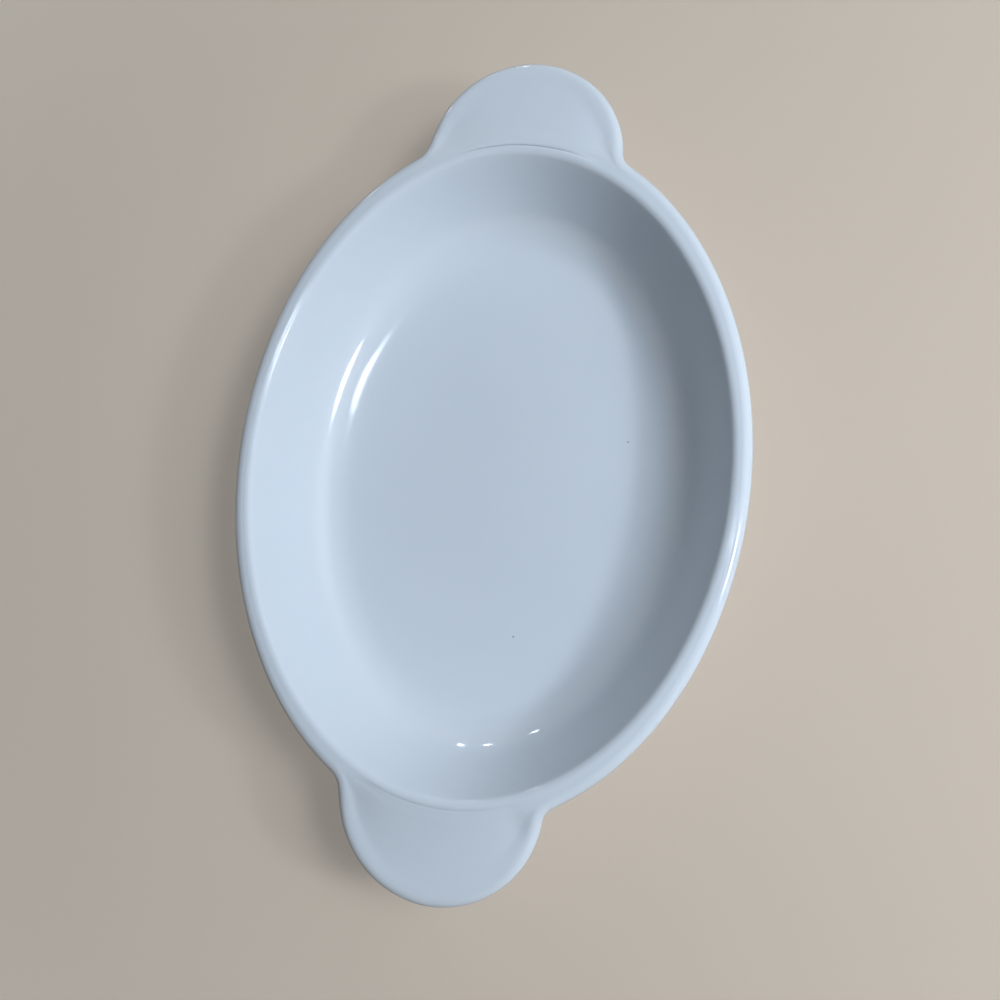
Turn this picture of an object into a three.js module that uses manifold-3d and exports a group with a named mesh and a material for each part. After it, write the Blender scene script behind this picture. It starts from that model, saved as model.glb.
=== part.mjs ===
// Oval oven dish of white glazed stoneware, as its maker joins it before the firing:
// one pressed basin, two lug handles luted to the ends of its rim, and a foot ring luted under
// its floor. Millimetres, +Z up. X runs along the dish through both handles, Y across it, and
// the origin is the middle of the plane that the foot ring stands on.
import * as THREE from "three";
import { mergeVertices } from "three/addons/utils/BufferGeometryUtils.js";
import Module from "manifold-3d";

// Basin
const RIM_LENGTH = 290; // outside of the lip, along X
const RIM_WIDTH = 216; // outside of the lip, along Y
const DISH_HEIGHT = 48; // from the table to the crest of the lip
const FLOOR_THICKNESS = 8.5;
const WALL_THICKNESS = 7;
const WALL_FLARE = THREE.MathUtils.degToRad(30); // lean of the wall, from the vertical
const COVE_RADIUS = 24; // inside, between floor and wall
const HEEL_RADIUS = 30; // outside, between wall and base
const LIP_WIDTH_SIDE = 7.5; // at the middle of each long side
const LIP_WIDTH_END = 10.5; // at the root of each handle
const LIP_INNER_RADIUS = 3.5;
const LIP_OUTER_RADIUS = 4;
const NECK_RADIUS = 5; // hollow under the lip, where it runs into the wall

// Handles
const HANDLE_RADIUS = 42.5; // outline seen from above
const HANDLE_REACH = 32; // how far the tip stands past the rim
const HANDLE_THICKNESS = 9;
const HANDLE_EDGE_RADIUS = 4;
const HANDLE_EDGE_FLAT = 1; // least height left straight between its two rounded edges
const HANDLE_DROP = 2.5; // from the crest of the lip down to the border of the handle
const HANDLE_FILLET = 8; // hollow corner between handle and rim, seen from above
const HANDLE_BORDER = 8; // raised border round the thumb rest
const THUMB_REST_DEPTH = 1;
const HANDLE_ROOT_DEPTH = 14; // how far the handle's clay runs in under the lip

// Foot ring
const FOOT_HEIGHT = 3;
const FOOT_WIDTH = 6;
const FOOT_EASE = 0.8; // worn edge of the ring

const LUTING_GAP = 0.3; // between a handle and the basin

// Fineness of the facets
const RING_STEPS = 80;
const COVE_STEPS = 6;
const LIP_INNER_STEPS = 3;
const LIP_OUTER_STEPS = 4;
const LIP_UNDER_STEPS = 3;
const NECK_STEPS = 3;
const HANDLE_STEPS = 26;
const FILLET_STEPS = 5;
const EDGE_STEPS = 4;
const THUMB_REST_RINGS = 5;
const THUMB_REST_STEPS = 36;
const SAME_POINT = 1e-3; // points nearer than this are one
const HALVINGS = 40; // of the range in which the handle's corner is sought

const BASE_Z = FOOT_HEIGHT;
const FLOOR_Z = FOOT_HEIGHT + FLOOR_THICKNESS;

// Materials
const whiteGlaze = () =>
  new THREE.MeshStandardMaterial({ color: 0xe6ebf0, roughness: 0.12, metalness: 0 });
const bareClay = () =>
  new THREE.MeshStandardMaterial({ color: 0xcdbfab, roughness: 0.85, metalness: 0 });

const wasm = await Module();
wasm.setup();

function toSolid(geometry) {
  const bare = geometry.clone();
  bare.deleteAttribute("normal");
  bare.deleteAttribute("uv");
  const merged = mergeVertices(bare, SAME_POINT);
  return new wasm.Manifold(
    new wasm.Mesh({
      numProp: 3,
      vertProperties: merged.getAttribute("position").array,
      triVerts: new Uint32Array(merged.index.array),
    }),
  );
}

function toGeometry(solid) {
  const mesh = solid.getMesh();
  const geometry = new THREE.BufferGeometry();
  geometry.setAttribute("position", new THREE.BufferAttribute(mesh.vertProperties, 3));
  geometry.setIndex(new THREE.BufferAttribute(mesh.triVerts, 1));
  return geometry;
}

// Points along an arc, between two angles that are measured from the first axis.
function arc(centre, radius, from, to, steps) {
  const curve = new THREE.EllipseCurve(centre.x, centre.y, radius, radius, from, to, to < from);
  return curve.getPoints(steps);
}

// The sections below are cuts from the middle of the dish outwards: x is the distance from the
// middle and y the height. A reach is the half length or the half width of the rim.

// Inside of the basin: floor, cove, flared wall and inner edge of the lip.
function innerSection(reach, lipWidth) {
  const lipCorner = reach - lipWidth;
  const floorCorner = lipCorner - (DISH_HEIGHT - FLOOR_Z) * Math.tan(WALL_FLARE);
  const turn = Math.PI / 2 - WALL_FLARE;
  const coveCentre = new THREE.Vector2(
    floorCorner - COVE_RADIUS * Math.tan(turn / 2),
    FLOOR_Z + COVE_RADIUS,
  );
  const lipCentre = new THREE.Vector2(
    lipCorner + LIP_INNER_RADIUS * Math.tan(turn / 2),
    DISH_HEIGHT - LIP_INNER_RADIUS,
  );
  return [
    new THREE.Vector2(0, FLOOR_Z),
    ...arc(coveCentre, COVE_RADIUS, -Math.PI / 2, -WALL_FLARE, COVE_STEPS),
    ...arc(lipCentre, LIP_INNER_RADIUS, Math.PI - WALL_FLARE, Math.PI / 2, LIP_INNER_STEPS),
  ];
}

// Outside of the basin: lip, neck, wall, heel and base. grow moves it outwards.
function outerSection(reach, lipWidth, grow) {
  const down = new THREE.Vector2(-Math.sin(WALL_FLARE), -Math.cos(WALL_FLARE));
  const out = new THREE.Vector2(Math.cos(WALL_FLARE), -Math.sin(WALL_FLARE));
  const lipCentre = new THREE.Vector2(reach - LIP_OUTER_RADIUS, DISH_HEIGHT - LIP_OUTER_RADIUS);
  const wallTop = new THREE.Vector2(reach - lipWidth, DISH_HEIGHT).addScaledVector(out, WALL_THICKNESS);

  // The neck touches the lip and the wall, so its middle is known across and along the wall.
  const lipAcross = lipCentre.clone().sub(wallTop).dot(out);
  const neckAcross = NECK_RADIUS - lipAcross;
  const neckAlong = Math.sqrt((LIP_OUTER_RADIUS + NECK_RADIUS) ** 2 - neckAcross ** 2);
  const neckCentre = lipCentre
    .clone()
    .addScaledVector(out, neckAcross)
    .addScaledVector(down, neckAlong);
  const lipEnd = neckCentre.clone().sub(lipCentre).angle() - 2 * Math.PI;

  const baseDrop = (wallTop.y - BASE_Z) / Math.cos(WALL_FLARE);
  const baseCorner = wallTop.clone().addScaledVector(down, baseDrop);
  const turn = Math.PI / 2 - WALL_FLARE;
  const heelCentre = new THREE.Vector2(
    baseCorner.x - HEEL_RADIUS * Math.tan(turn / 2),
    BASE_Z + HEEL_RADIUS,
  );
  return [
    ...arc(lipCentre, LIP_OUTER_RADIUS + grow, Math.PI / 2, 0, LIP_OUTER_STEPS),
    ...arc(lipCentre, LIP_OUTER_RADIUS + grow, 0, lipEnd, LIP_UNDER_STEPS).slice(1),
    ...arc(neckCentre, NECK_RADIUS - grow, lipEnd + Math.PI, Math.PI - WALL_FLARE, NECK_STEPS).slice(1),
    ...arc(heelCentre, HEEL_RADIUS + grow, -WALL_FLARE, -Math.PI / 2, COVE_STEPS),
    new THREE.Vector2(0, BASE_Z - grow),
  ];
}

// A body with oval rings: the section at the middle of a long side is turned about Z, and each
// ring is then stretched along X until it passes through the section at the end of the dish.
function ovalBody(sectionAt) {
  const sideSection = sectionAt(RIM_WIDTH / 2, LIP_WIDTH_SIDE);
  const endSection = sectionAt(RIM_LENGTH / 2, LIP_WIDTH_END);
  const body = new THREE.LatheGeometry(sideSection, RING_STEPS).rotateX(Math.PI / 2);
  const position = body.getAttribute("position");
  for (let i = 0; i < position.count; i++) {
    const side = sideSection[i % sideSection.length];
    const end = endSection[i % endSection.length];
    const share = side.x > 0 ? position.getX(i) / side.x : 0;
    position.setX(i, share * end.x);
    position.setZ(i, side.y + (end.y - side.y) * share ** 2);
  }
  return body;
}

function basin() {
  return ovalBody((reach, lipWidth) =>
    [...innerSection(reach, lipWidth), ...outerSection(reach, lipWidth, 0)].reverse(),
  );
}

// The space that the basin takes up, hollow and all, grown by the luting gap.
function basinBlank() {
  return ovalBody((reach, lipWidth) => {
    const crown = new THREE.Vector2(0, DISH_HEIGHT + LUTING_GAP);
    return [crown, ...outerSection(reach, lipWidth, LUTING_GAP)].reverse();
  });
}

// Outline of a handle from above: a round tab whose hollow corners run into the oval rim.
function handleOutline(centre) {
  const halfLength = RIM_LENGTH / 2;
  const halfWidth = RIM_WIDTH / 2;
  const onRim = (t) => new THREE.Vector2(halfLength * Math.cos(t), halfWidth * Math.sin(t));
  const outOfRim = (t) =>
    new THREE.Vector2(Math.cos(t) / halfLength, Math.sin(t) / halfWidth).normalize();
  const cornerCentre = (t) => onRim(t).addScaledVector(outOfRim(t), HANDLE_FILLET);

  // The corner touches the rim where its middle is one corner radius off the round tab.
  let low = 0;
  let high = Math.PI / 2;
  for (let i = 0; i < HALVINGS; i++) {
    const middle = (low + high) / 2;
    const tooClose = cornerCentre(middle).distanceTo(centre) < HANDLE_RADIUS + HANDLE_FILLET;
    [low, high] = tooClose ? [middle, high] : [low, middle];
  }
  const corner = cornerCentre(low);
  const tabAngle = corner.clone().sub(centre).angle();
  const rimAngle = outOfRim(low).angle() + Math.PI;
  const tab = arc(centre, HANDLE_RADIUS, 0, tabAngle, HANDLE_STEPS / 2);
  const fillet = arc(corner, HANDLE_FILLET, tabAngle + Math.PI, rimAngle, FILLET_STEPS);
  const root = onRim(low).addScaledVector(outOfRim(low), -HANDLE_ROOT_DEPTH);
  const half = [...tab, ...fillet.slice(1), root];
  const mirrored = half.slice(1).map((p) => new THREE.Vector2(p.x, -p.y));
  return [...half, ...mirrored.reverse()];
}

// Cutter for the shallow thumb rest: a cap of a large ball, with its open side at height 0.
function thumbRest() {
  const radius = HANDLE_RADIUS - HANDLE_BORDER;
  const ball = (radius ** 2 + THUMB_REST_DEPTH ** 2) / (2 * THUMB_REST_DEPTH);
  const half = Math.asin(radius / ball);
  const middle = new THREE.Vector2(0, ball - THUMB_REST_DEPTH);
  const section = [
    ...arc(middle, ball, -Math.PI / 2, -Math.PI / 2 + half, THUMB_REST_RINGS),
    new THREE.Vector2(radius, THUMB_REST_DEPTH),
    new THREE.Vector2(0, THUMB_REST_DEPTH),
  ];
  section[0].x = 0;
  return new THREE.LatheGeometry(section, THUMB_REST_STEPS).rotateX(Math.PI / 2);
}

// A handle at the +X end: the rounded tab, less its thumb rest and what the basin takes up.
function handle() {
  const centre = new THREE.Vector2(RIM_LENGTH / 2 + HANDLE_REACH - HANDLE_RADIUS, 0);
  const top = DISH_HEIGHT - HANDLE_DROP;
  const edge = Math.min(HANDLE_EDGE_RADIUS, (HANDLE_THICKNESS - HANDLE_EDGE_FLAT) / 2);
  const tab = new THREE.ExtrudeGeometry(new THREE.Shape(handleOutline(centre)), {
    depth: HANDLE_THICKNESS - 2 * edge,
    bevelThickness: edge,
    bevelSize: edge,
    bevelOffset: -edge,
    bevelSegments: EDGE_STEPS,
  }).translate(0, 0, top - HANDLE_THICKNESS + edge);
  const rest = thumbRest().translate(centre.x, centre.y, top);
  return toGeometry(toSolid(tab).subtract(toSolid(rest)).subtract(toSolid(basinBlank())));
}

// The foot ring stands where the heel has come level, under the flat of the base.
function footRing() {
  return ovalBody((reach, lipWidth) => {
    const outside = outerSection(reach, lipWidth, 0).at(-2).x;
    const inside = outside - FOOT_WIDTH;
    return [
      new THREE.Vector2(inside, BASE_Z),
      new THREE.Vector2(inside, FOOT_EASE),
      new THREE.Vector2(inside + FOOT_EASE, 0),
      new THREE.Vector2(outside - FOOT_EASE, 0),
      new THREE.Vector2(outside, FOOT_EASE),
      new THREE.Vector2(outside, BASE_Z),
      new THREE.Vector2(inside, BASE_Z),
    ];
  });
}

function addPiece(parent, name, geometry, material) {
  const mesh = new THREE.Mesh(geometry, material);
  mesh.name = name;
  parent.add(mesh);
  return mesh;
}

const dish = new THREE.Group();
dish.name = "oval_dish";
addPiece(dish, "basin", basin(), whiteGlaze());
addPiece(dish, "right_handle", handle(), whiteGlaze());
addPiece(dish, "left_handle", handle(), whiteGlaze()).rotation.z = Math.PI;
addPiece(dish, "foot_ring", footRing(), bareClay());

export default dish;
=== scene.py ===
# %% [markdown]
# # An oval oven dish of white glazed stoneware
#
# The dish is a shallow oval basin with a rounded lip, a round lug handle at each end and a bare
# clay ring under its floor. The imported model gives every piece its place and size. This lesson
# puts a finer surface over each piece, glazes it and lights it.

# %% Load the fixed frame
import math
from collections import namedtuple

import bmesh
import bpy
from mathutils import Matrix, Quaternion, Vector


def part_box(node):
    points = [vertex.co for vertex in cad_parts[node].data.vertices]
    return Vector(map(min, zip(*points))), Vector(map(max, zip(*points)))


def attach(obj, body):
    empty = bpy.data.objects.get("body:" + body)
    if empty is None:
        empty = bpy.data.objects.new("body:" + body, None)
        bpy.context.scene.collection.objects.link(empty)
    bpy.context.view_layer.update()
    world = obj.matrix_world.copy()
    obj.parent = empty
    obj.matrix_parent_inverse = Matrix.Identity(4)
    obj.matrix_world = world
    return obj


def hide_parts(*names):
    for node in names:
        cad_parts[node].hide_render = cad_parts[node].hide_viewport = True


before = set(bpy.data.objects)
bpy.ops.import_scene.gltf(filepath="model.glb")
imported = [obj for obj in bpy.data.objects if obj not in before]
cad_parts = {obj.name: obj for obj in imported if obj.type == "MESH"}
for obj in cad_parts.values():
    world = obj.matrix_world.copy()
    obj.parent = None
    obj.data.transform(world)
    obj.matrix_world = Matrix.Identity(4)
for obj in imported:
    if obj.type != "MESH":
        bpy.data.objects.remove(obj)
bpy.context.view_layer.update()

print("nodes:", ", ".join(sorted(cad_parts)))

# %% [markdown]
# ## Sizes
#
# The outside sizes are read from the frame, so the finer pieces fit it by themselves. What a box
# can't tell, such as the lean of the wall and the radii of its curves, is written here in
# millimetres and is the same as on the frame's solids.

# %% Sizes of the basin
MM = 0.001

basin_low, basin_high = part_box("basin")
HALF_LENGTH = basin_high.x
HALF_WIDTH = basin_high.y
CREST = basin_high.z
BASE = basin_low.z
FLOOR_THICKNESS = 8.5 * MM
FLOOR = BASE + FLOOR_THICKNESS
WALL = 7 * MM
FLARE = 30.0  # lean of the wall from the vertical, in degrees
COVE_RADIUS = 24 * MM
HEEL_RADIUS = 30 * MM
LIP_WIDTH = 7.5 * MM
LIP_GROWTH = 3 * MM  # how much wider the lip is at the ends
LIP_INNER_RADIUS = 3.5 * MM
LIP_OUTER_RADIUS = 4 * MM

print("rim of", round(2 * HALF_LENGTH / MM), "x", round(2 * HALF_WIDTH / MM), "mm")

# %% Sizes of the handles
handle_low, handle_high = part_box("right_handle")
TIP = handle_high.x
BORDER_TOP = handle_high.z
UNDERSIDE = handle_low.z
HANDLE_RADIUS = 42.5 * MM
HANDLE_CORNER = 8 * MM  # hollow corner between handle and rim, seen from above
HANDLE_CENTRE = Vector((TIP - HANDLE_RADIUS, 0, 0))
ROOT_FILLET = 6 * MM  # under the handle, against the wall

print("handle", round((BORDER_TOP - UNDERSIDE) / MM, 1), "mm thick at its border")

# %% [markdown]
# ## The section of the basin
#
# Glazed ware has no sharp line anywhere, because the glaze runs and rounds what the mould leaves.
# The section is therefore a chain of arcs: floor, cove, flared wall, lip, neck, wall, heel, base.
# A point of it is an inset, the distance in from the rim's outline, and a height. It could be
# drawn by hand as a list of points, but arcs keep every radius as one plain number.

# %% Arcs of the section
TURN = 90 - FLARE
SLOPE = math.tan(math.radians(FLARE))
HALF_TURN = math.tan(math.radians(TURN / 2))


def arc(inset, height, radius, start, end, steps):
    """Points on an arc about a centre; 0 degrees points out of the dish and 90 degrees up."""
    points = []
    for i in range(steps + 1):
        angle = math.radians(start + (end - start) * i / steps)
        points.append((inset - radius * math.cos(angle), height + radius * math.sin(angle)))
    return points


floor_corner = LIP_WIDTH + (CREST - FLOOR) * SLOPE
cove_centre = floor_corner + COVE_RADIUS * HALF_TURN
crest_inset = LIP_WIDTH - LIP_INNER_RADIUS * HALF_TURN
cove = arc(cove_centre, FLOOR + COVE_RADIUS, COVE_RADIUS, -90, -FLARE, 7)
lip_inside = arc(crest_inset, CREST - LIP_INNER_RADIUS, LIP_INNER_RADIUS, 180 - FLARE, 90, 4)
print("inside section:", len(cove), "points on the cove,", len(lip_inside), "on the lip")

# %% Outside of the wall
wall_top_inset = LIP_WIDTH - WALL * math.cos(math.radians(FLARE))
wall_top_height = CREST - WALL * math.sin(math.radians(FLARE))


def wall_inset(height):
    """Inset of the wall's outer face at a height."""
    return wall_top_inset + (wall_top_height - height) * SLOPE


heel_centre = wall_inset(BASE) + HEEL_RADIUS * HALF_TURN
heel = arc(heel_centre, BASE + HEEL_RADIUS, HEEL_RADIUS, -FLARE, -80, 5)
print("the base comes level", round(heel_centre / MM, 1), "mm in from the rim")

# %% [markdown]
# ## The outline from above
#
# Seen from above, the rim is an ellipse and each handle a round tab, and a hollow corner joins
# the two. The skin of the dish will be a net of rings, which go round the dish, and columns,
# which run from the floor over the lip and down the wall. A column needs to know where it stands
# on the oval rings, where it crosses the outline, which way is out there, and how much of a
# handle it is: 0 on the plain lip and 1 on the handle.

# %% Rim and handle outline
Column = namedtuple("Column", "turn edge out share")
HALVINGS = 40  # enough to find an angle as exactly as the numbers allow


def oval(turn, inset, height):
    """A point of the oval ring that lies inset from the rim at the middle of the long sides."""
    x = (HALF_LENGTH - LIP_GROWTH - inset) * math.cos(turn)
    y = (HALF_WIDTH - inset) * math.sin(turn)
    return Vector((x, y, height))


def rim_edge(turn):
    return Vector((HALF_LENGTH * math.cos(turn), HALF_WIDTH * math.sin(turn), 0))


def rim_out(turn):
    return Vector((math.cos(turn) / HALF_LENGTH, math.sin(turn) / HALF_WIDTH, 0)).normalized()


def corner_centre(turn):
    return rim_edge(turn) + rim_out(turn) * HANDLE_CORNER


def corner_turn():
    """Where the hollow corner touches the rim, found by halving."""
    low, high = 0, math.pi / 2
    for _ in range(HALVINGS):
        middle = (low + high) / 2
        if (corner_centre(middle) - HANDLE_CENTRE).length < HANDLE_RADIUS + HANDLE_CORNER:
            low = middle
        else:
            high = middle
    return low


CORNER_TURN = corner_turn()
CORNER = corner_centre(CORNER_TURN)
to_corner = CORNER - HANDLE_CENTRE
TAB_ANGLE = math.atan2(to_corner.y, to_corner.x)
print("corner touches the rim at", round(math.degrees(CORNER_TURN), 1), "degrees")

# %% Columns of the net
ARC_COLUMNS = 26  # round a handle
CORNER_COLUMNS = 5  # round each hollow corner
SIDE_COLUMNS = 48  # along each long side
FAN_CENTRE = Vector((105 * MM, 0, 0))  # the columns of a handle fan out from here
BLEND = 9 * MM  # a column this far outside the rim is all handle


def soft_step(value, start, end):
    """0 before the start and 1 after the end, with a soft change between."""
    part = min(max((value - start) / (end - start), 0), 1)
    return part * part * (3 - 2 * part)


def handle_share(edge):
    """0 on the rim, 1 well outside it, with a soft change between."""
    stretch = math.hypot(edge.x / HALF_LENGTH, edge.y / HALF_WIDTH)
    steepness = math.hypot(edge.x / HALF_LENGTH**2, edge.y / HALF_WIDTH**2)
    reach = stretch * (stretch - 1) / steepness
    return soft_step(reach, 0, BLEND)


def fan_turn(edge):
    """Where the line from the fan's centre to the edge crosses the crest of the lip."""
    a = HALF_LENGTH - LIP_GROWTH - crest_inset
    b = HALF_WIDTH - crest_inset
    way = edge - FAN_CENTRE
    square = (way.x / a) ** 2 + (way.y / b) ** 2
    cross = FAN_CENTRE.x * way.x / a**2
    rest = (FAN_CENTRE.x / a) ** 2 - 1
    step = (-cross + math.sqrt(cross * cross - square * rest)) / square
    return math.atan2(way.y * step / b, (FAN_CENTRE.x + way.x * step) / a)


def tab_column(angle):
    out = Vector((math.cos(angle), math.sin(angle), 0))
    edge = HANDLE_CENTRE + out * HANDLE_RADIUS
    return Column(fan_turn(edge), edge, out, handle_share(edge))


def corner_column(part):
    """A column on the hollow corner on the +Y side, from the tab (0) to the rim (1)."""
    at_rim = rim_out(CORNER_TURN)
    end = math.atan2(at_rim.y, at_rim.x)
    angle = TAB_ANGLE + (end - TAB_ANGLE) * part
    out = Vector((math.cos(angle), math.sin(angle), 0))
    edge = CORNER - out * HANDLE_CORNER
    tab_turn = tab_column(TAB_ANGLE).turn
    turn = tab_turn + (CORNER_TURN - tab_turn) * part
    return Column(turn, edge, out, handle_share(edge))


def mirrored(column):
    flip = Vector((1, -1, 1))
    return Column(-column.turn, column.edge * flip, column.out * flip, column.share)


def turned(column):
    return Column(column.turn + math.pi, -column.edge, -column.out, column.share)


tab = [tab_column(TAB_ANGLE * (2 * i / ARC_COLUMNS - 1)) for i in range(ARC_COLUMNS + 1)]
corner = [corner_column((i + 1) / CORNER_COLUMNS) for i in range(CORNER_COLUMNS)]
side = []
for i in range(1, SIDE_COLUMNS):
    turn = CORNER_TURN + (math.pi - 2 * CORNER_TURN) * i / SIDE_COLUMNS
    side.append(Column(turn, rim_edge(turn), rim_out(turn), 0))
half = [mirrored(c) for c in reversed(corner)] + tab + corner + side
columns = half + [turned(c) for c in half]
print(len(columns), "columns")

# %% [markdown]
# ## From the crest of the lip to the wall
#
# On the plain lip a column rolls over a rounded edge and tucks in under it. On a handle the same
# column falls from the lip to the thumb rest, which is almost flat, rises a little to the border,
# rounds the edge and comes back under the handle. Over the middle of the root it first dips into a
# narrow groove, where the handle was joined to the lip. The groove is clear on the +X handle and
# nearly wiped away on the other. Both ways have the same number of points, so a column in between
# is a mix of the two, and the border of the handle flows out of the lip without a seam.

# %% Rings on top of a handle
# Each pair is a distance in millimetres and a depth below the crest of the lip.
ROOT_RINGS = (  # out from the crest
    (0.6, 0.1),
    (1.05, 0.4),
    (1.4, 0.7),
    (1.8, 0.65),
    (3.2, 0.65),
    (5.6, 0.8),
    (7.4, 1.1),
    (10.0, 1.5),
)
REST_RINGS = ((0.35, 2.1), (0.65, 2.55), (0.9, 2.75))  # shares of the way across the thumb rest
BORDER_RINGS = ((9.0, 2.75), (6.5, 2.6), (4.0, 2.5))  # in from the edge
GROOVE = 2  # the root ring at the bottom of the groove
GROOVE_DEPTH = 1.6  # more than the ring's own depth, at the middle of the handle
FULL_WIDTH = 28 * MM  # a handle narrower than this squeezes its rings
TOP_POINTS = len(ROOT_RINGS) + len(REST_RINGS) + len(BORDER_RINGS)

ROOT_HALF_WIDTH = oval(CORNER_TURN, crest_inset, CREST).y
GROOVE_FULL = 0.15  # the groove is at its deepest over this share of the root
GROOVE_END = 0.7  # and is gone from this share on
WIPED = 0.15  # how much of the groove is left at the -X handle, which was wiped smoother
PLAIN_SLOPE = 0.2  # how the root falls away from the crest where there is no groove


def groove_share(column):
    """How deep the groove is: most over the middle of the root, 0 towards the corners."""
    along = abs(oval(column.turn, crest_inset, CREST).y) / ROOT_HALF_WIDTH
    deepest = 1 if column.edge.x > 0 else WIPED
    return deepest * (1 - soft_step(along, GROOVE_FULL, GROOVE_END))


print(TOP_POINTS, "rings on top, root", round(2 * ROOT_HALF_WIDTH / MM), "mm wide")

# %% The plain lip
UPPER_EDGE = (67.5, 45, 22.5)  # degrees round the edge, from its top down to its middle
LOWER_EDGE = (1 / 3, 2 / 3, 1)  # shares of the way on, round the lower half of the edge
LIP_UNDER = -69  # where the lip's round edge ends, in degrees
NECK_HEIGHT = CREST - 8 * MM
NECK_END = CREST - 11 * MM
NECK_SHARES = (0.35, 0.7, 1)  # rings on the hollow curve from the lip to the wall
WALL_STEPS = (CREST - 12.7 * MM, CREST - 14.7 * MM)


def rounded(column, centre_height, angle):
    """A point of the round edge at an angle above its middle."""
    a = math.radians(angle)
    inset = LIP_OUTER_RADIUS * (1 - math.cos(a))
    point = column.edge - column.out * inset
    point.z = centre_height + LIP_OUTER_RADIUS * math.sin(a)
    return point


def lip_path(column):
    crest = oval(column.turn, crest_inset, CREST)
    middle = CREST - LIP_OUTER_RADIUS
    edge_top = rounded(column, middle, 90)
    path = [crest.lerp(edge_top, (i + 1) / TOP_POINTS) for i in range(TOP_POINTS)]
    path += [rounded(column, middle, angle) for angle in UPPER_EDGE]
    path.append(rounded(column, middle, 0))
    path += [rounded(column, middle, LIP_UNDER * part) for part in LOWER_EDGE]
    lip_end = path[-1]
    neck = oval(column.turn, wall_inset(NECK_HEIGHT), NECK_HEIGHT)
    wall = oval(column.turn, wall_inset(NECK_END), NECK_END)
    for part in NECK_SHARES:
        path.append(lip_end.lerp(neck, part).lerp(neck.lerp(wall, part), part))
    path += [oval(column.turn, wall_inset(height), height) for height in WALL_STEPS]
    return path


print("a lip column has", len(lip_path(columns[len(half) // 2])), "points")

# %% The handle
UNDER_SHARES = (0.35, 0.7)  # rings on the flat underside, from the edge to the root


def handle_path(column):
    crest = oval(column.turn, crest_inset, CREST)
    away = rim_out(column.turn)
    fit = min(1, (column.edge - crest).to_2d().length / FULL_WIDTH)
    grooved = groove_share(column)
    root = []
    for distance, depth in ROOT_RINGS:
        point = crest + away * distance * MM * fit
        plain = min(depth, distance * PLAIN_SLOPE)
        root.append(Vector((point.x, point.y, CREST - (plain + (depth - plain) * grooved) * MM)))
    root[GROOVE].z -= GROOVE_DEPTH * MM * grooved
    border = []
    for distance, depth in BORDER_RINGS:
        inset = LIP_OUTER_RADIUS + (distance * MM - LIP_OUTER_RADIUS) * fit
        point = column.edge - column.out * inset
        border.append(Vector((point.x, point.y, CREST - depth * MM)))
    rest = []
    for part, depth in REST_RINGS:
        point = root[-1].lerp(border[0], part)
        rest.append(Vector((point.x, point.y, CREST - depth * MM)))
    path = root + rest + border
    path += [rounded(column, BORDER_TOP - LIP_OUTER_RADIUS, angle) for angle in UPPER_EDGE]
    path.append(rounded(column, (BORDER_TOP + UNDERSIDE) / 2, 0))
    path += [rounded(column, UNDERSIDE + LIP_OUTER_RADIUS, -90 * part) for part in LOWER_EDGE]
    fillet_start = wall_inset(UNDERSIDE) - ROOT_FILLET * HALF_TURN
    fillet = arc(fillet_start, UNDERSIDE - ROOT_FILLET, ROOT_FILLET, 90, 180 - FLARE, 2)
    under = path[-1]
    root_under = oval(column.turn, fillet_start, UNDERSIDE)
    path += [under.lerp(root_under, part) for part in UNDER_SHARES]
    path += [oval(column.turn, inset, height) for inset, height in fillet]
    return path


def outer_path(column):
    pairs = zip(lip_path(column), handle_path(column))
    return [plain.lerp(tab_point, column.share) for plain, tab_point in pairs]


print("a handle column has", len(handle_path(columns[0])), "points")

# %% [markdown]
# ## The skin of the dish
#
# The glaze covers basin and handles in one unbroken coat, so they are modelled as one skin and
# parted afterwards, along the lines where the maker joined the clay. The skin could be turned as
# a lathe shape and the handles cut in with booleans, but cuts leave creases that a glossy glaze
# shows up. Here the innermost ring starts as a circle and every further ring is extruded from the
# one before it and laid on its section, so all faces are even four-sided ones.

# %% Rings of the skin
FLOOR_SHARES = (0.3, 0.6, 0.85)  # rings on the flat floor, as shares of its outline
WALL_SHARES = (0.25, 0.5, 0.75)
FOOT_WIDTH = 6 * MM

rings = []
for share in FLOOR_SHARES:
    ring = [oval(c.turn, cove_centre, FLOOR) for c in columns]
    rings.append([Vector((p.x * share, p.y * share, p.z)) for p in ring])
inside = list(cove)
for share in WALL_SHARES:
    inside.append(tuple(Vector(cove[-1]).lerp(Vector(lip_inside[0]), share)))
inside += lip_inside
for inset, height in inside:
    rings.append([oval(c.turn, inset, height) for c in columns])
first_outer_ring = len(rings)
rings += [list(ring) for ring in zip(*[outer_path(c) for c in columns])]
last_outer_ring = len(rings) - 1
print(len(rings), "rings down to the wall under the handles")

# %% Rings of the outside
WALL_HEIGHTS = (28 * MM, 20.5 * MM)
BASE_MARGIN = 6 * MM  # from the inner side of the foot to the first ring on the level base
BASE_SHARES = (0.6, 0.25)  # further rings on the base, as shares of that one
# The skirt of glaze over each side of the foot: distance from the foot's side, and height.
SKIRT = ((1.3, 3.08), (0.45, 2.85), (0.08, 2.3), (-0.1, 1.95), (-0.7, 1.9))
foot_outside = heel_centre
foot_inside = heel_centre + FOOT_WIDTH
outside = [(wall_inset(height), height) for height in WALL_HEIGHTS]
outside += heel
outside += [(foot_outside - distance * MM, height * MM) for distance, height in SKIRT]
outside += [(foot_inside + distance * MM, height * MM) for distance, height in reversed(SKIRT)]
outside += [(foot_inside + BASE_MARGIN, BASE)]
for inset, height in outside:
    rings.append([oval(c.turn, inset, height) for c in columns])
for share in BASE_SHARES:
    ring = [oval(c.turn, foot_inside + BASE_MARGIN, BASE) for c in columns]
    rings.append([Vector((p.x * share, p.y * share, p.z)) for p in ring])
print(len(rings), "rings in all")

# %% Extrude the skin, ring after ring


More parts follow.
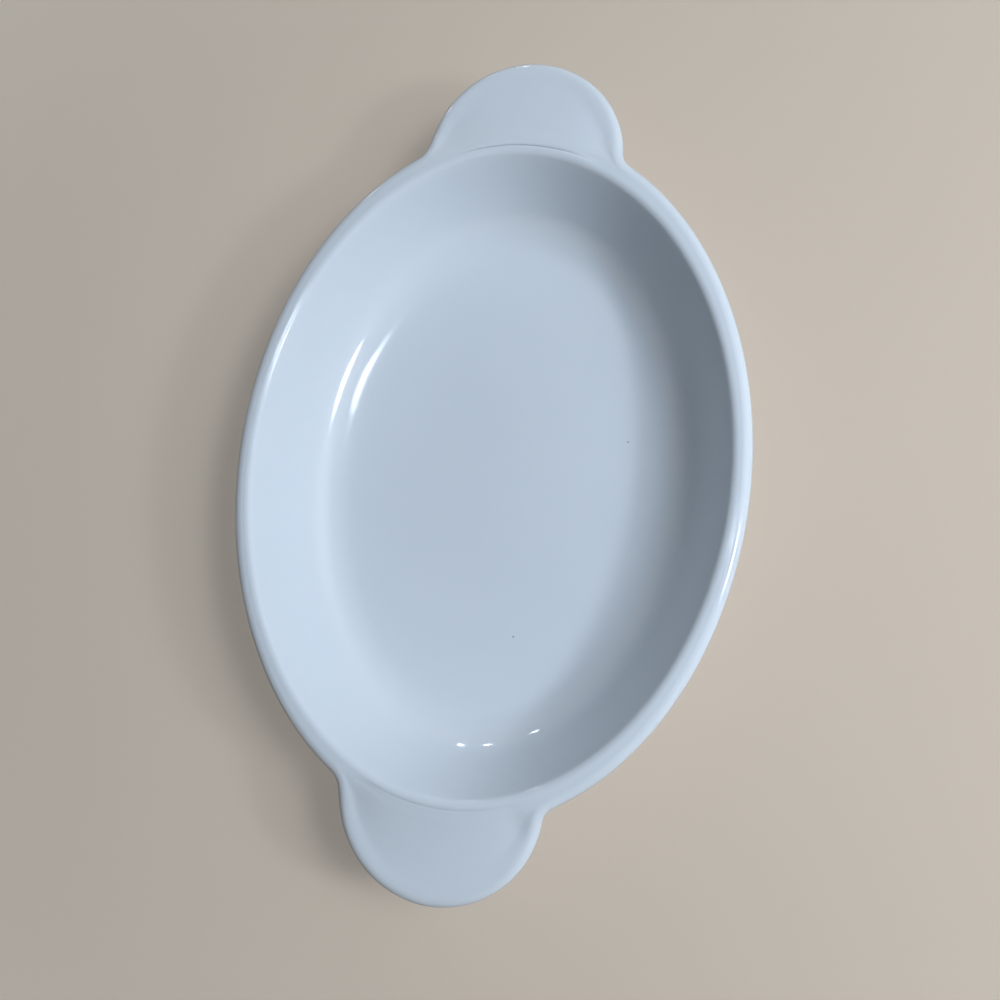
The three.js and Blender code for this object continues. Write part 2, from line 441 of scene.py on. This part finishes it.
def ring_edges(mesh, ring):
    return [mesh.edges.get((ring[i - 1], ring[i])) for i in range(len(ring))]


def next_ring(mesh, ring, points):
    """Extrudes a closed ring and lays the new one on the given points."""
    made = bmesh.ops.extrude_edge_only(mesh, edges=ring_edges(mesh, ring))["geom"]
    fresh = {v for v in made if isinstance(v, bmesh.types.BMVert)}
    grown = []
    for vert, point in zip(ring, points):
        new = next(e.other_vert(vert) for e in vert.link_edges if e.other_vert(vert) in fresh)
        new.co = point
        grown.append(new)
    return grown


def first_ring(mesh, points, capped):
    """A circle with as many corners as there are points, laid on them."""
    made = bmesh.ops.create_circle(
        mesh, cap_ends=capped, cap_tris=True, segments=len(points), radius=1
    )["verts"]
    round_verts = [v for v in made if v.co.length > 0.5]
    round_verts.sort(key=lambda v: math.atan2(v.co.y, v.co.x) % math.tau)
    for vert in made:
        vert.co = Vector((0, 0, points[0].z))
    for vert, point in zip(round_verts, points):
        vert.co = point
    return round_verts


skin = bmesh.new()
groove_shade_layer = skin.verts.layers.float.new("painted_groove_shade")  # painted shade along the bottom of the groove, filled in below
ring = first_ring(skin, rings[0], capped=True)
net = [ring]
for points in rings[1:]:
    ring = next_ring(skin, ring, points)
    net.append(ring)
bottom = bmesh.ops.contextual_create(skin, geom=ring_edges(skin, ring))["faces"]
bmesh.ops.poke(skin, faces=bottom)
bmesh.ops.recalc_face_normals(skin, faces=skin.faces)
print("skin:", len(skin.faces), "faces")

# %% [markdown]
# ## Parting the skin into basin and handles
#
# A Subdivision Surface modifier rounds the net. The faces of each handle carry a mark, so that
# the finished skin can be parted along the bottom of the groove, across the lip at the hollow
# corners and round the root under the handle. Each piece is then closed where the clay of the two
# meets: a bridge runs from the groove down to the root, and a flat end closes it at each corner.
# A plain cut would show as a line, because Blender would work out new normals along it, so every
# piece keeps the normals that the whole skin had, and the glaze runs on across the joint.

# %% Mark the handles
HANDLE_MARKS = (1, 2)  # right and left
groove_ring = first_outer_ring + GROOVE
starts = (CORNER_COLUMNS, CORNER_COLUMNS + len(half))
for mark, start in zip(HANDLE_MARKS, starts):
    for i in range(groove_ring, last_outer_ring):
        for j in range(start, start + ARC_COLUMNS):
            corners = {net[i][j], net[i + 1][j], net[i][j + 1], net[i + 1][j + 1]}
            face = next(f for f in net[i][j].link_faces if set(f.verts) == corners)
            face.material_index = mark
    for ring in (net[groove_ring], net[last_outer_ring]):
        for j in range(start, start + ARC_COLUMNS):
            skin.edges.get((ring[j], ring[j + 1])).seam = True
    # The ring at the bottom of the groove gets painted shade, as much as the groove is deep there.
    for j in range(start, start + ARC_COLUMNS + 1):
        net[groove_ring][j][groove_shade_layer] = groove_share(columns[j])
for face in skin.faces:
    face.smooth = True
print("marked:", sum(f.material_index > 0 for f in skin.faces), "faces of the handles")

# %% Round the skin


def new_object(mesh, name):
    """Writes a bmesh to a new object at the origin."""
    data = bpy.data.meshes.new(name)
    mesh.to_mesh(data)
    mesh.free()
    made = bpy.data.objects.new(name, data)
    bpy.context.scene.collection.objects.link(made)
    return made


def subdivided(made, levels):
    """The object's mesh after a Subdivision Surface, as a mesh of its own."""
    finer = made.modifiers.new("rounding", "SUBSURF")
    finer.levels = levels
    finer.render_levels = levels
    graph = bpy.context.evaluated_depsgraph_get()
    data = bpy.data.meshes.new_from_object(made.evaluated_get(graph))
    bpy.data.objects.remove(made)
    return data


whole = subdivided(new_object(skin, "whole_skin"), 1)
normals = whole.attributes.new("skin_normal", "FLOAT_VECTOR", "POINT")
flat_normals = [part for vert in whole.vertices for part in vert.normal]
normals.data.foreach_set("vector", flat_normals)
print("rounded skin:", len(whole.polygons), "faces")

# %% Part the skin


def skin_piece(name, node, mark):
    """The faces of the skin that carry a mark, closed where they were joined to the rest."""
    part = bmesh.new()
    part.from_mesh(whole)
    others = [f for f in part.faces if f.material_index != mark]
    bmesh.ops.delete(part, geom=others, context="FACES")
    rims = [e for e in part.edges if e.is_boundary and e.seam]
    for end in (1, -1):
        chains = [e for e in rims if e.verts[0].co.x * end > 0]
        if chains:
            bmesh.ops.bridge_loops(part, edges=chains)
    holes = [e for e in part.edges if e.is_boundary]
    flat_ends = bmesh.ops.holes_fill(part, edges=holes)["faces"]
    bmesh.ops.triangulate(part, faces=flat_ends)
    bmesh.ops.recalc_face_normals(part, faces=part.faces)
    for face in part.faces:
        face.material_index = 0
        face.smooth = True
    for edge in part.edges:
        edge.seam = False
    open_edges = sum(not e.is_manifold for e in part.edges)
    piece = new_object(part, name)
    kept = piece.data.attributes["skin_normal"]
    piece.data.normals_split_custom_set_from_vertices([item.vector for item in kept.data])
    piece.data.attributes.remove(kept)
    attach(piece, "root")
    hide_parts(node)
    print(name, "has", len(piece.data.polygons), "faces and", open_edges, "open edges")
    return piece


glazed_pieces = [
    skin_piece("glazed_basin", "basin", 0),
    skin_piece("glazed_right_handle", "right_handle", HANDLE_MARKS[0]),
    skin_piece("glazed_left_handle", "left_handle", HANDLE_MARKS[1]),
]

# %% [markdown]
# ## The foot ring
#
# Under the floor stands a low ring of bare clay: it is wiped clean before the firing, or the dish
# would stick to the kiln shelf. Its lower edges are worn round. It is made like the skin, ring by
# ring, and its last ring is bridged to its first.

# %% Extrude the foot ring
# Half of the ring's section: distance in from its side, and height.
FOOT_SECTION = ((0, 3.0), (0, 1.5), (0.08, 0.55), (0.5, 0.1), (1.2, 0), (2.2, 0))
foot_points = [(foot_outside + inset * MM, height * MM) for inset, height in FOOT_SECTION]
foot_points += [(foot_inside - inset * MM, height * MM) for inset, height in reversed(FOOT_SECTION)]
foot_turns = [math.tau * i / len(columns) for i in range(len(columns))]
foot_rings = [[oval(t, inset, height) for t in foot_turns] for inset, height in foot_points]

foot_mesh = bmesh.new()
first = first_ring(foot_mesh, foot_rings[0], capped=False)
ring = first
for points in foot_rings[1:]:
    ring = next_ring(foot_mesh, ring, points)
loops = ring_edges(foot_mesh, first) + ring_edges(foot_mesh, ring)
bmesh.ops.bridge_loops(foot_mesh, edges=loops)
bmesh.ops.recalc_face_normals(foot_mesh, faces=foot_mesh.faces)
for face in foot_mesh.faces:
    face.smooth = True
foot = new_object(foot_mesh, "clay_foot_ring")
rounding = foot.modifiers.new("rounding", "SUBSURF")
rounding.levels = 1
rounding.render_levels = 1
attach(foot, "root")
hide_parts("foot_ring")
print("foot ring:", len(foot.data.polygons), "faces before rounding")

# %% [markdown]
# ## White glaze
#
# The glaze is a glassy white coat, opacified with tin or zircon, that was dipped on and fired
# until it ran smooth. It gives the eye a cool white with a clear, sharp gloss. Close up the gloss
# is never that of a mirror: the coat lies in shallow waves, like the skin of an orange, and here
# and there a bubble has left a dark pinhole. A single white would look like plastic, so a faint
# change of tone and these small faults are laid over it. Shade is also painted into the bottom
# of the groove at the root of each handle.

# %% Helpers for materials


def linear(hex_colour):
    """The linear RGBA of an sRGB colour such as #dee3e7."""
    parts = [int(hex_colour[i : i + 2], 16) / 255 for i in (1, 3, 5)]
    return [p / 12.92 if p <= 0.04045 else ((p + 0.055) / 1.055) ** 2.4 for p in parts] + [1]


def add_node(tree, kind, inputs=None, **settings):
    """Adds a node; an input that is a socket is linked, and any other value is set."""
    node = tree.nodes.new(kind)
    for name, value in settings.items():
        setattr(node, name, value)
    for name, value in (inputs or {}).items():
        if isinstance(value, bpy.types.NodeSocket):
            tree.links.new(value, node.inputs[name])
        else:
            node.inputs[name].default_value = value
    return node


def new_material(name):
    """An empty material, its node tree and its Object coordinates."""
    material = bpy.data.materials.new(name)
    material.use_nodes = True
    material.node_tree.nodes.clear()
    coords = add_node(material.node_tree, "ShaderNodeTexCoord")
    return material, material.node_tree, coords.outputs["Object"]


def per(size):
    """The texture scale at which a pattern repeats about every so many metres."""
    return 1 / size


# %% Tone of the glaze
GLAZE = linear("#dee3e7")
GLAZE_THIN = linear("#d8dee3")
# This dark grey colours the pinholes and is also the shade painted into the bottom of the groove.
PINHOLE_AND_SHADE_GREY = linear("#6b7076")
MOTTLE = 60 * MM

white_glaze, tree, place = new_material("white_tin_glaze")
mottle = add_node(tree, "ShaderNodeTexNoise", {"Vector": place, "Scale": per(MOTTLE), "Detail": 3})
tone = add_node(
    tree, "ShaderNodeMix", {0: mottle.outputs[0], 6: GLAZE_THIN, 7: GLAZE}, data_type="RGBA"
)
print("glaze: a faint mottle of about", round(MOTTLE / MM), "mm")

# %% Pinholes and the painted shade in the groove
PINHOLE_SPACING = 40 * MM
PINHOLE_RADIUS = 0.45 * MM
PINHOLE_CORE = 0.4  # share of the radius that is fully dark
# How strong the painted shade in the groove is.
GROOVE_SHADE_STRENGTH = 0.7
# Places in millimetres: two on the floor, two on the lip and one on the edge of a handle.
PINHOLES = ((21.4, -55.3, 11.5), (-68.4, -15.8, 11.5), (4, -101, 48), (135, -22, 47), (174, 9, 45))

scattered = add_node(tree, "ShaderNodeTexVoronoi", {"Vector": place, "Scale": per(PINHOLE_SPACING)})
nearest = add_node(
    tree,
    "ShaderNodeMath",
    {0: scattered.outputs["Distance"], 1: PINHOLE_SPACING},
    operation="MULTIPLY",
)
for spot in PINHOLES:
    away = add_node(
        tree, "ShaderNodeVectorMath", {0: place, 1: Vector(spot) * MM}, operation="DISTANCE"
    )
    nearest = add_node(
        tree, "ShaderNodeMath", {0: nearest.outputs[0], 1: away.outputs["Value"]}, operation="MINIMUM"
    )
pinholes = add_node(
    tree,
    "ShaderNodeMapRange",
    {
        "Value": nearest.outputs[0],
        "From Min": PINHOLE_RADIUS,
        "From Max": PINHOLE_CORE * PINHOLE_RADIUS,
    },
)
# Painted shade along the groove, read from the skin's attribute; the pinholes are real faults.
painted_groove_shade = add_node(tree, "ShaderNodeAttribute", attribute_name="painted_groove_shade")
groove_shade_line = add_node(
    tree,
    "ShaderNodeMath",
    {0: painted_groove_shade.outputs["Fac"], 1: GROOVE_SHADE_STRENGTH},
    operation="MULTIPLY",
)
dark = add_node(
    tree, "ShaderNodeMath", {0: pinholes.outputs[0], 1: groove_shade_line.outputs[0]}, operation="MAXIMUM"
)
glaze_colour = add_node(
    tree,
    "ShaderNodeMix",
    {0: dark.outputs[0], 6: tone.outputs[2], 7: PINHOLE_AND_SHADE_GREY},
    data_type="RGBA",
)
print("pinholes:", len(PINHOLES), "placed and the rest scattered")

# %% Gloss of the glaze
WAVES = 26 * MM
WAVE_HEIGHT = 0.12 * MM
PEEL = 5 * MM
PEEL_HEIGHT = 0.01 * MM
SMOOTHEST = 0.04  # the roughness changes between these two along with the mottle
DULLEST = 0.09

waves = add_node(tree, "ShaderNodeTexNoise", {"Vector": place, "Scale": per(WAVES), "Detail": 1})
wave_bump = add_node(
    tree, "ShaderNodeBump", {"Height": waves.outputs[0], "Distance": WAVE_HEIGHT, "Strength": 1}
)
peel = add_node(tree, "ShaderNodeTexNoise", {"Vector": place, "Scale": per(PEEL), "Detail": 1})
peel_bump = add_node(
    tree,
    "ShaderNodeBump",
    {
        "Height": peel.outputs[0],
        "Distance": PEEL_HEIGHT,
        "Strength": 1,
        "Normal": wave_bump.outputs[0],
    },
)
gloss = add_node(
    tree, "ShaderNodeMapRange", {"Value": mottle.outputs[0], "To Min": SMOOTHEST, "To Max": DULLEST}
)
shader = add_node(
    tree,
    "ShaderNodeBsdfPrincipled",
    {
        "Base Color": glaze_colour.outputs[2],
        "Roughness": gloss.outputs[0],
        "IOR": 1.52,
        "Normal": peel_bump.outputs[0],
    },
)
add_node(tree, "ShaderNodeOutputMaterial", {"Surface": shader.outputs[0]})
for piece in glazed_pieces:
    piece.data.materials.append(white_glaze)
print("glaze:", len(tree.nodes), "nodes")

# %% [markdown]
# ## Bare clay
#
# The foot shows the body of the ware: fired stoneware clay, pale buff, dull and slightly gritty.
# Fine dark grog shows as speckle.

# %% The clay
CLAY = linear("#cdbfab")
CLAY_DARK = linear("#a8967f")
GRIT = 0.7 * MM
GRIT_HEIGHT = 0.08 * MM
GRIT_START = 0.4  # where the pattern of the grit starts to darken the clay
GRIT_FULL = 0.7

bare_clay, tree, place = new_material("bare_stoneware_clay")
grit = add_node(tree, "ShaderNodeTexNoise", {"Vector": place, "Scale": per(GRIT), "Detail": 4})
grit_tone = add_node(
    tree,
    "ShaderNodeMapRange",
    {"Value": grit.outputs[0], "From Min": GRIT_START, "From Max": GRIT_FULL},
)
clay_tone = add_node(
    tree, "ShaderNodeMix", {0: grit_tone.outputs[0], 6: CLAY, 7: CLAY_DARK}, data_type="RGBA"
)
clay_bump = add_node(
    tree, "ShaderNodeBump", {"Height": grit.outputs[0], "Distance": GRIT_HEIGHT, "Strength": 1}
)
shader = add_node(
    tree,
    "ShaderNodeBsdfPrincipled",
    {"Base Color": clay_tone.outputs[2], "Roughness": 0.85, "Normal": clay_bump.outputs[0]},
)
add_node(tree, "ShaderNodeOutputMaterial", {"Surface": shader.outputs[0]})
foot.data.materials.append(bare_clay)
print("clay:", len(tree.nodes), "nodes")

# %% [markdown]
# ## Studio
#
# The dish stands on a plain floor of pale warm beige. One large soft lamp, high on the -Y side,
# gives most of the light, so one long side of the inside is bright and the other falls into shade.
# It is left out of reflections, where it would lie as a broad band on the cove. The lights on the
# gloss come from weaker lamps: a small window and a strip overhead make two streaks on the cove, a
# wide dim window lies behind the small one, and three panes at the +X end make three spots at the
# -X end. The floor fades into the backdrop with distance, so that hardly a horizon shows. The
# backdrop is there for the eye and for reflections and hardly lights the dish, while the glow of
# the floor lights the outside of its wall from below.

# %% Backdrop
BACKDROP = linear("#d3cec6")
CEILING = linear("#4c4d50")
CEILING_START = 0.45  # sine of the angle above the horizon at which the backdrop starts to darken
CEILING_FULL = 0.85  # and at which it is as dark as the ceiling
SKY_FILL = 0.03  # how strongly the backdrop lights the dish
FLOOR_FILL = 0.6  # how strongly the glow of the floor lights the dish from below


def backdrop_strength(tree, fill):
    """1 where the backdrop is seen or mirrored, and the weaker fill where it only gives light."""
    path = add_node(tree, "ShaderNodeLightPath")
    shown = path.outputs["Is Camera Ray"]
    for kind in ("Is Glossy Ray", "Is Transmission Ray"):
        shown = add_node(
            tree, "ShaderNodeMath", {0: shown, 1: path.outputs[kind]}, operation="MAXIMUM"
        ).outputs[0]
    strength = add_node(tree, "ShaderNodeMapRange", {"Value": shown, "To Min": fill})
    return strength.outputs[0]


world = bpy.data.worlds.new("studio")
bpy.context.scene.world = world
world.use_nodes = True
tree = world.node_tree
tree.nodes.clear()
way = add_node(tree, "ShaderNodeTexCoord")
way_parts = add_node(tree, "ShaderNodeSeparateXYZ", {0: way.outputs["Generated"]})
overhead = add_node(
    tree,
    "ShaderNodeMapRange",
    {"Value": way_parts.outputs["Z"], "From Min": CEILING_START, "From Max": CEILING_FULL},
    interpolation_type="SMOOTHSTEP",
)
sky_tone = add_node(
    tree, "ShaderNodeMix", {0: overhead.outputs[0], 6: BACKDROP, 7: CEILING}, data_type="RGBA"
)
sky = add_node(
    tree,
    "ShaderNodeBackground",
    {"Color": sky_tone.outputs[2], "Strength": backdrop_strength(tree, SKY_FILL)},
)
add_node(tree, "ShaderNodeOutputWorld", {"Surface": sky.outputs[0]})
print("backdrop hung")

# %% Floor
FLOOR_SIZE = 6.0
PLAIN_FLOOR = 0.22  # the floor is plain this far out
FADED_FLOOR = 0.9  # and has faded into the backdrop here
NEAR_GLOW = 0.3  # share of the backdrop's glow in the plain floor, which softens the shadows
FLOOR_GRAIN = 0.3
FLOOR_TONE = linear("#cdb9a4")
FLOOR_TONE_PALE = linear("#d3c0ac")

stage_mesh = bmesh.new()
bmesh.ops.create_circle(stage_mesh, cap_ends=True, segments=96, radius=FLOOR_SIZE)
studio_floor = new_object(stage_mesh, "studio_floor")
pale, tree, place = new_material("pale_studio_floor")
grain = add_node(
    tree, "ShaderNodeTexNoise", {"Vector": place, "Scale": per(FLOOR_GRAIN), "Detail": 4}
)
floor_tone = add_node(
    tree,
    "ShaderNodeMix",
    {0: grain.outputs[0], 6: FLOOR_TONE, 7: FLOOR_TONE_PALE},
    data_type="RGBA",
)
plain = add_node(
    tree, "ShaderNodeBsdfPrincipled", {"Base Color": floor_tone.outputs[2], "Roughness": 0.8}
)
faded = add_node(
    tree,
    "ShaderNodeEmission",
    {"Color": BACKDROP, "Strength": backdrop_strength(tree, FLOOR_FILL)},
)
far = add_node(tree, "ShaderNodeVectorMath", {0: place}, operation="LENGTH")
fade = add_node(
    tree,
    "ShaderNodeMapRange",
    {
        "Value": far.outputs["Value"],
        "From Min": PLAIN_FLOOR,
        "From Max": FADED_FLOOR,
        "To Min": NEAR_GLOW,
    },
    interpolation_type="SMOOTHSTEP",
)
surface = add_node(
    tree, "ShaderNodeMixShader", {0: fade.outputs[0], 1: plain.outputs[0], 2: faded.outputs[0]}
)
add_node(tree, "ShaderNodeOutputMaterial", {"Surface": surface.outputs[0]})
studio_floor.data.materials.append(pale)
print("floor laid")

# %% A soft lamp
DAYLIGHT = linear("#e2eefc")
FADED_GAIN = 4.24  # makes up for the light that the fading takes from a lamp
LAMP_MIDDLE = (0.5, 0.5, 0)
LAMP_EDGE = 0.5  # from the middle of a lamp, as a share of its size


def soft_lamp(name, place, width, height, watts, spin=0, in_gloss=True):
    """A lamp that fades towards its edges, turned to the dish; in_gloss lets the glaze mirror it."""
    data = bpy.data.lights.new(name, "AREA")
    data.shape = "RECTANGLE"
    data.size = width
    data.size_y = height
    data.energy = watts
    data.color = DAYLIGHT[:3]
    data.use_nodes = True
    tree = data.node_tree
    tree.nodes.clear()
    spot = add_node(tree, "ShaderNodeNewGeometry")
    off_middle = add_node(
        tree,
        "ShaderNodeVectorMath",
        {0: spot.outputs["Parametric"], 1: LAMP_MIDDLE},
        operation="DISTANCE",
    )
    fade = add_node(
        tree,
        "ShaderNodeMapRange",
        {
            "Value": off_middle.outputs["Value"],
            "From Min": LAMP_EDGE,
            "From Max": 0,
            "To Max": FADED_GAIN,
        },
        interpolation_type="SMOOTHSTEP",
    )
    glow = add_node(tree, "ShaderNodeEmission", {"Strength": fade.outputs[0]})
    add_node(tree, "ShaderNodeOutputLight", {"Surface": glow.outputs[0]})
    lamp = bpy.data.objects.new(name, data)
    lamp.location = place
    aim = Vector((0, 0, CREST / 2)) - Vector(place)
    own_turn = Quaternion((0, 0, 1), math.radians(spin))
    lamp.rotation_euler = (aim.to_track_quat("-Z", "Y") @ own_turn).to_euler()
    lamp.visible_glossy = in_gloss
    bpy.context.scene.collection.objects.link(lamp)
    return lamp


print("daylight:", [round(part, 2) for part in DAYLIGHT[:3]])

# %% Hang the lamps
PANE_ANGLES = (14, 26, 43)  # degrees round from +X towards +Y
PANE_DISTANCE = 1.58
PANE_HEIGHT = 0.3

soft_lamp("soft_sky", (0.14, -0.79, 1.17), width=0.9, height=0.6, watts=11, in_gloss=False)
soft_lamp("window", (-0.06, -0.77, 0.635), width=0.26, height=0.2, watts=3.2)
soft_lamp("wide_window", (0.27, -0.96, 0.84), width=2.2, height=1, watts=2.8)
soft_lamp("high_strip", (0.07, -0.31, 1.2), width=0.1, height=0.52, watts=1.2, spin=-22)
for pane_angle in PANE_ANGLES:
    angle = math.radians(pane_angle)
    place = (PANE_DISTANCE * math.cos(angle), PANE_DISTANCE * math.sin(angle), PANE_HEIGHT)
    soft_lamp("far_pane", place, width=0.14, height=0.2, watts=1)
print("lamps:", len(bpy.data.lights))

# %% [markdown]
# ## Camera
#
# The photograph was taken from just above the dish, a little to the -X and -Y side, with its long
# axis almost upright in the picture. The camera stands at the same place and leans the same way.

# %% Camera
CAMERA_PLACE = Vector((-55.6, -94.7, 441.5)) * MM
CAMERA_AIM = Vector((-13.2, -9.2, 44.0)) * MM
CAMERA_UP = Vector((0.986, 0.104, 0.128))  # what points up in the picture
FILM = 36  # width of the film, in millimetres
FOCAL_LENGTH = 36

camera_data = bpy.data.cameras.new("camera")
camera_data.sensor_width = FILM
camera_data.lens = FOCAL_LENGTH
camera_data.clip_start = 10 * MM
camera = bpy.data.objects.new("camera", camera_data)
bpy.context.scene.collection.objects.link(camera)
back = (CAMERA_PLACE - CAMERA_AIM).normalized()
right = CAMERA_UP.cross(back).normalized()
up = back.cross(right)
turn_matrix = Matrix((right, up, back)).transposed().to_4x4()
camera.matrix_world = Matrix.Translation(CAMERA_PLACE) @ turn_matrix
bpy.context.scene.camera = camera
bpy.context.scene.view_settings.view_transform = "Standard"
print("camera", round((CAMERA_PLACE - CAMERA_AIM).length / MM), "mm from the rim")
